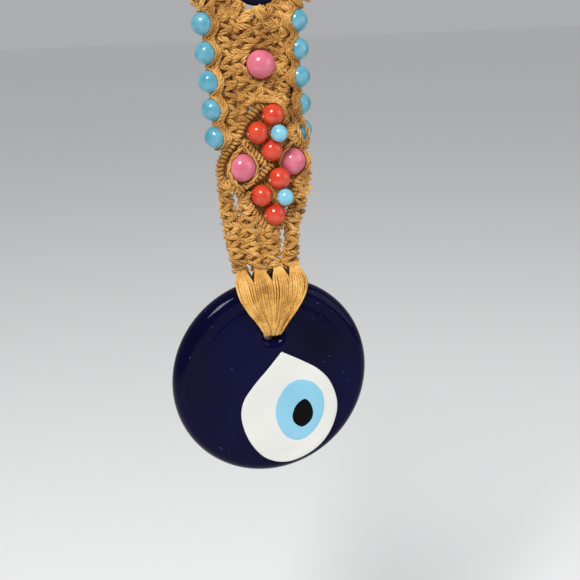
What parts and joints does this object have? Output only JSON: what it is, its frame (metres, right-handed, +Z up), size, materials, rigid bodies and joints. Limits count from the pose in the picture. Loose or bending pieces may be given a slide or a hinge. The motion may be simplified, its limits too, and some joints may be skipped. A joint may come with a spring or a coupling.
{
  "type": "evil eye ornament",
  "caption": "Hanging evil eye ornament: a knotted thread band with coloured beads and a small eye, and a large glass eye disc hung from a fan of threads.",
  "frame": {"origin": "top of the hanging loop's opening, where the nail or hook bears", "axes": "+Z up along the band as it hangs, -Y out of the front face of the eye, +X to the viewer's right"},
  "size_m": [0.075, 0.0167, 0.237],
  "materials": {
    "hemp_thread": "golden-brown twisted thread with a soft sheen",
    "cobalt_glass": "polished dark cobalt glass",
    "white_glass": "polished opaque white glass",
    "light_blue_glass": "polished opaque light blue glass",
    "black_glass": "polished black glass",
    "turquoise_bead": "glossy opaque turquoise glass",
    "light_blue_bead": "glossy opaque light blue glass",
    "pink_bead": "glossy opaque pink glass",
    "red_bead": "glossy opaque red glass"
  },
  "bodies": {
    "hanger": {"hanging_loop": "hemp_thread"},
    "upper_band": {"neck_core": "hemp_thread", "neck_wrap": "hemp_thread", "upper_sinnet_1": "hemp_thread", "upper_sinnet_2": "hemp_thread", "upper_sinnet_3": "hemp_thread", "upper_sinnet_4": "hemp_thread", "upper_edge_cord_left": "hemp_thread", "upper_edge_cord_right": "hemp_thread", "pink_centre_cord": "hemp_thread", "eye_hanging_cord": "hemp_thread"},
    "small_eye": {"small_eye_glass": "cobalt_glass", "small_eye_white": "white_glass", "small_eye_iris": "light_blue_glass", "small_eye_pupil": "black_glass", "small_eye_thread": "hemp_thread"},
    "lower_band": {"shoulder_left": "hemp_thread", "shoulder_right": "hemp_thread", "rib_upper_left": "hemp_thread", "rib_upper_right": "hemp_thread", "rib_cross_left": "hemp_thread", "rib_cross_low": "hemp_thread", "rib_lower_left": "hemp_thread", "rib_lower_right": "hemp_thread", "cross_cord": "hemp_thread", "bead_cords": "hemp_thread", "lower_edge_cord_left": "hemp_thread", "lower_edge_cord_right": "hemp_thread", "lower_sinnet_1": "hemp_thread", "lower_sinnet_2": "hemp_thread", "lower_sinnet_3": "hemp_thread", "lower_sinnet_4": "hemp_thread", "red_bead_1": "red_bead", "red_bead_2": "red_bead", "red_bead_3": "red_bead", "red_bead_4": "red_bead", "red_bead_5": "red_bead", "red_bead_6": "red_bead", "pink_bead_left": "pink_bead", "pink_bead_right": "pink_bead", "blue_bead_1": "light_blue_bead", "blue_bead_2": "light_blue_bead"},
    "thread_fan": {"thread_fan_front": "hemp_thread", "thread_fan_back": "hemp_thread", "thread_bight": "hemp_thread"},
    "eye_disc": {"glass_disc": "cobalt_glass", "eye_white": "white_glass", "eye_iris": "light_blue_glass", "eye_pupil": "black_glass"},
    "bead_left_1": {"side_bead_left_1": "turquoise_bead"},
    "bead_left_2": {"side_bead_left_2": "turquoise_bead"},
    "bead_left_3": {"side_bead_left_3": "turquoise_bead"},
    "bead_left_4": {"side_bead_left_4": "turquoise_bead"},
    "bead_left_5": {"side_bead_left_5": "turquoise_bead"},
    "bead_right_1": {"side_bead_right_1": "turquoise_bead"},
    "bead_right_2": {"side_bead_right_2": "turquoise_bead"},
    "bead_right_3": {"side_bead_right_3": "turquoise_bead"},
    "bead_right_4": {"side_bead_right_4": "turquoise_bead"},
    "bead_right_5": {"side_bead_right_5": "turquoise_bead"},
    "bead_pink_centre": {"pink_bead_centre": "pink_bead"}
  },
  "joints": [
    {"name": "loop_flex", "type": "hinge", "parent": "hanger", "child": "upper_band", "pos_m": [0, 0, -0.02], "axis": [1, 0, 0], "range_deg": [-45, 45]},
    {"name": "band_bend", "type": "hinge", "parent": "upper_band", "child": "lower_band", "pos_m": [0, 0, -0.09095], "axis": [1, 0, 0], "range_deg": [-40, 40]},
    {"name": "fan_flex", "type": "hinge", "parent": "lower_band", "child": "thread_fan", "pos_m": [0, 0, -0.1505], "axis": [1, 0, 0], "range_deg": [-40, 40]},
    {"name": "disc_swing", "type": "hinge", "parent": "thread_fan", "child": "eye_disc", "pos_m": [0, 0, -0.1758], "axis": [0, 1, 0], "range_deg": [-25, 25]},
    {"name": "small_eye_swing", "type": "hinge", "parent": "upper_band", "child": "small_eye", "pos_m": [0, 0, -0.03895], "axis": [1, 0, 0], "range_deg": [-45, 45]},
    {"name": "bead_left_1_spin", "type": "hinge", "parent": "upper_band", "child": "bead_left_1", "pos_m": [-0.0191, 0, -0.0672], "axis": [-0.0683, 0, 0.9977], "continuous": true},
    {"name": "bead_left_2_spin", "type": "hinge", "parent": "upper_band", "child": "bead_left_2", "pos_m": [-0.01845, 0, -0.0767], "axis": [-0.0683, 0, 0.9977], "continuous": true},
    {"name": "bead_left_3_spin", "type": "hinge", "parent": "upper_band", "child": "bead_left_3", "pos_m": [-0.0178, 0, -0.0862], "axis": [-0.0683, 0, 0.9977], "continuous": true},
    {"name": "bead_left_4_spin", "type": "hinge", "parent": "lower_band", "child": "bead_left_4", "pos_m": [-0.01715, 0, -0.0957], "axis": [-0.0683, 0, 0.9977], "continuous": true},
    {"name": "bead_left_5_spin", "type": "hinge", "parent": "lower_band", "child": "bead_left_5", "pos_m": [-0.0165, 0, -0.1052], "axis": [-0.0683, 0, 0.9977], "continuous": true},
    {"name": "bead_right_1_spin", "type": "hinge", "parent": "upper_band", "child": "bead_right_1", "pos_m": [0.014, 0, -0.0672], "axis": [-0.021, 0, 0.9998], "continuous": true},
    {"name": "bead_right_2_spin", "type": "hinge", "parent": "upper_band", "child": "bead_right_2", "pos_m": [0.0142, 0, -0.0767], "axis": [-0.021, 0, 0.9998], "continuous": true},
    {"name": "bead_right_3_spin", "type": "hinge", "parent": "upper_band", "child": "bead_right_3", "pos_m": [0.0144, 0, -0.0862], "axis": [-0.021, 0, 0.9998], "continuous": true},
    {"name": "bead_right_4_spin", "type": "hinge", "parent": "lower_band", "child": "bead_right_4", "pos_m": [0.0149, 0.0015, -0.0957], "axis": [-0.0923, -0.2051, 0.9744], "continuous": true},
    {"name": "bead_right_5_spin", "type": "hinge", "parent": "lower_band", "child": "bead_right_5", "pos_m": [0.0158, 0.0035, -0.1052], "axis": [-0.0923, -0.2051, 0.9744], "continuous": true},
    {"name": "bead_pink_centre_spin", "type": "hinge", "parent": "upper_band", "child": "bead_pink_centre", "pos_m": [0, -0.002, -0.0812], "axis": [0, 0, 1], "continuous": true}
  ]
}
